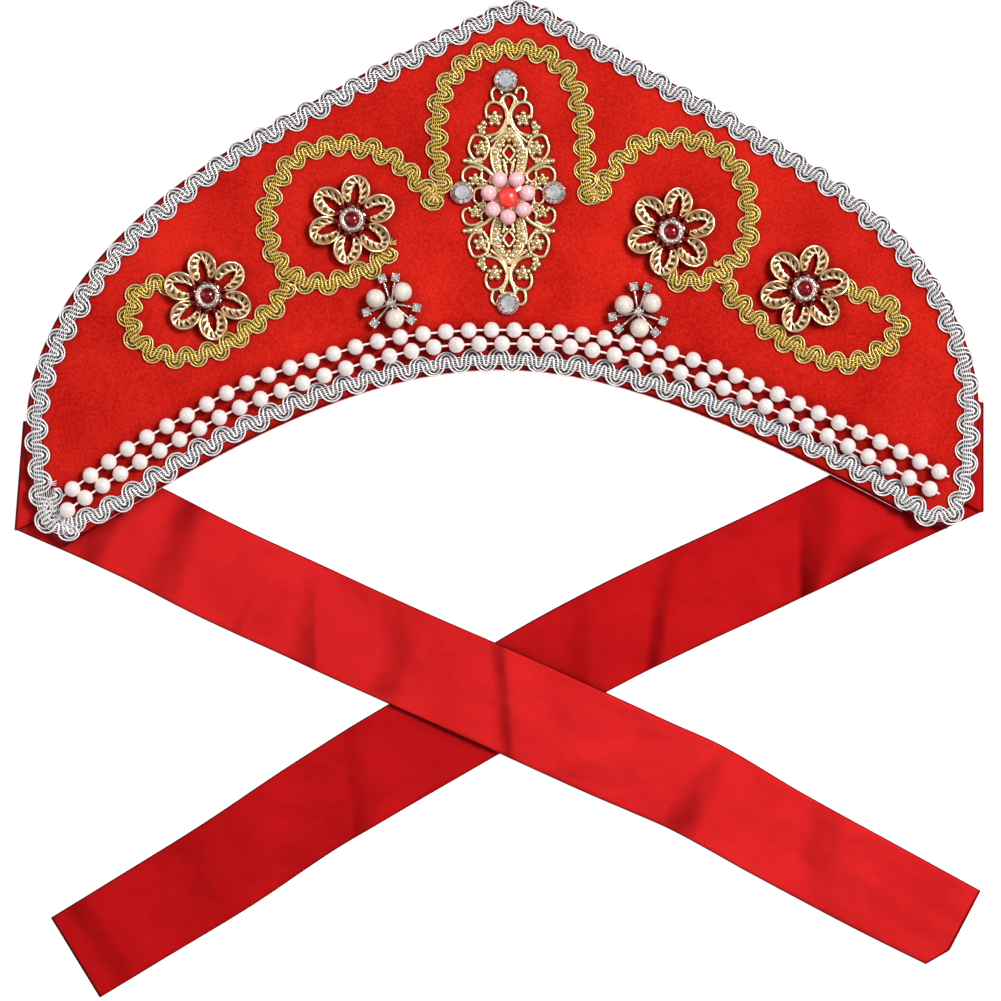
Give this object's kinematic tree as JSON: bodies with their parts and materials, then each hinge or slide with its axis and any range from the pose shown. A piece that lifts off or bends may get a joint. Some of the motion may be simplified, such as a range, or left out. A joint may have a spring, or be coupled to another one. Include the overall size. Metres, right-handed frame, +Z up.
{
  "type": "crown headband",
  "caption": "Stiff peaked crown headband in satin with gimp braid, pearl strings, gold filigree and stones along its face, and two satin ties crossed below it.",
  "frame": {"origin": "middle of the bounding box on the surface that it lies on", "axes": "+Z up out of the panel's face, +Y towards the panel's peak, +X to the right of the panel seen from its face"},
  "size_m": [0.3636, 0.3739, 0.0158],
  "materials": {
    "panel_satin": "red satin, softly glossy",
    "tie_satin": "red satin, softly glossy",
    "silver_gimp": "silver metallic thread",
    "gold_gimp": "gold metallic thread",
    "white_pearl": "white pearl lustre",
    "pink_pearl": "pink pearl lustre",
    "gold_filigree": "bright gold plate",
    "silver_setting": "bright silver plate",
    "clear_rhinestone": "clear cut stone",
    "garnet_stone": "dark red cut stone",
    "coral": "polished coral red"
  },
  "bodies": {
    "root": {"coral_cabochon": "coral", "crown_panel": "panel_satin", "filigree_flower_inner_left": "gold_filigree", "filigree_flower_inner_right": "gold_filigree", "filigree_flower_outer_left": "gold_filigree", "filigree_flower_outer_right": "gold_filigree", "filigree_lozenge": "gold_filigree", "flower_centre_inner_left": "garnet_stone", "flower_centre_inner_right": "garnet_stone", "flower_centre_outer_left": "garnet_stone", "flower_centre_outer_right": "garnet_stone", "gold_braid_crest": "gold_gimp", "gold_braid_loop_left": "gold_gimp", "gold_braid_loop_right": "gold_gimp", "pearl_string_lower": "white_pearl", "pearl_string_upper": "white_pearl", "pink_pearl_1": "pink_pearl", "pink_pearl_2": "pink_pearl", "pink_pearl_3": "pink_pearl", "pink_pearl_4": "pink_pearl", "pink_pearl_5": "pink_pearl", "pink_pearl_6": "pink_pearl", "pink_pearl_7": "pink_pearl", "rhinestone_bottom": "clear_rhinestone", "rhinestone_left": "clear_rhinestone", "rhinestone_right": "clear_rhinestone", "rhinestone_top": "clear_rhinestone", "silver_braid": "silver_gimp", "spray_pearl_left_1": "white_pearl", "spray_pearl_left_2": "white_pearl", "spray_pearl_left_3": "white_pearl", "spray_pearl_right_1": "white_pearl", "spray_pearl_right_2": "white_pearl", "spray_pearl_right_3": "white_pearl", "spray_setting_left": "silver_setting", "spray_setting_right": "silver_setting", "tie_left": "tie_satin", "tie_right": "tie_satin"}
  },
  "joints": []
}
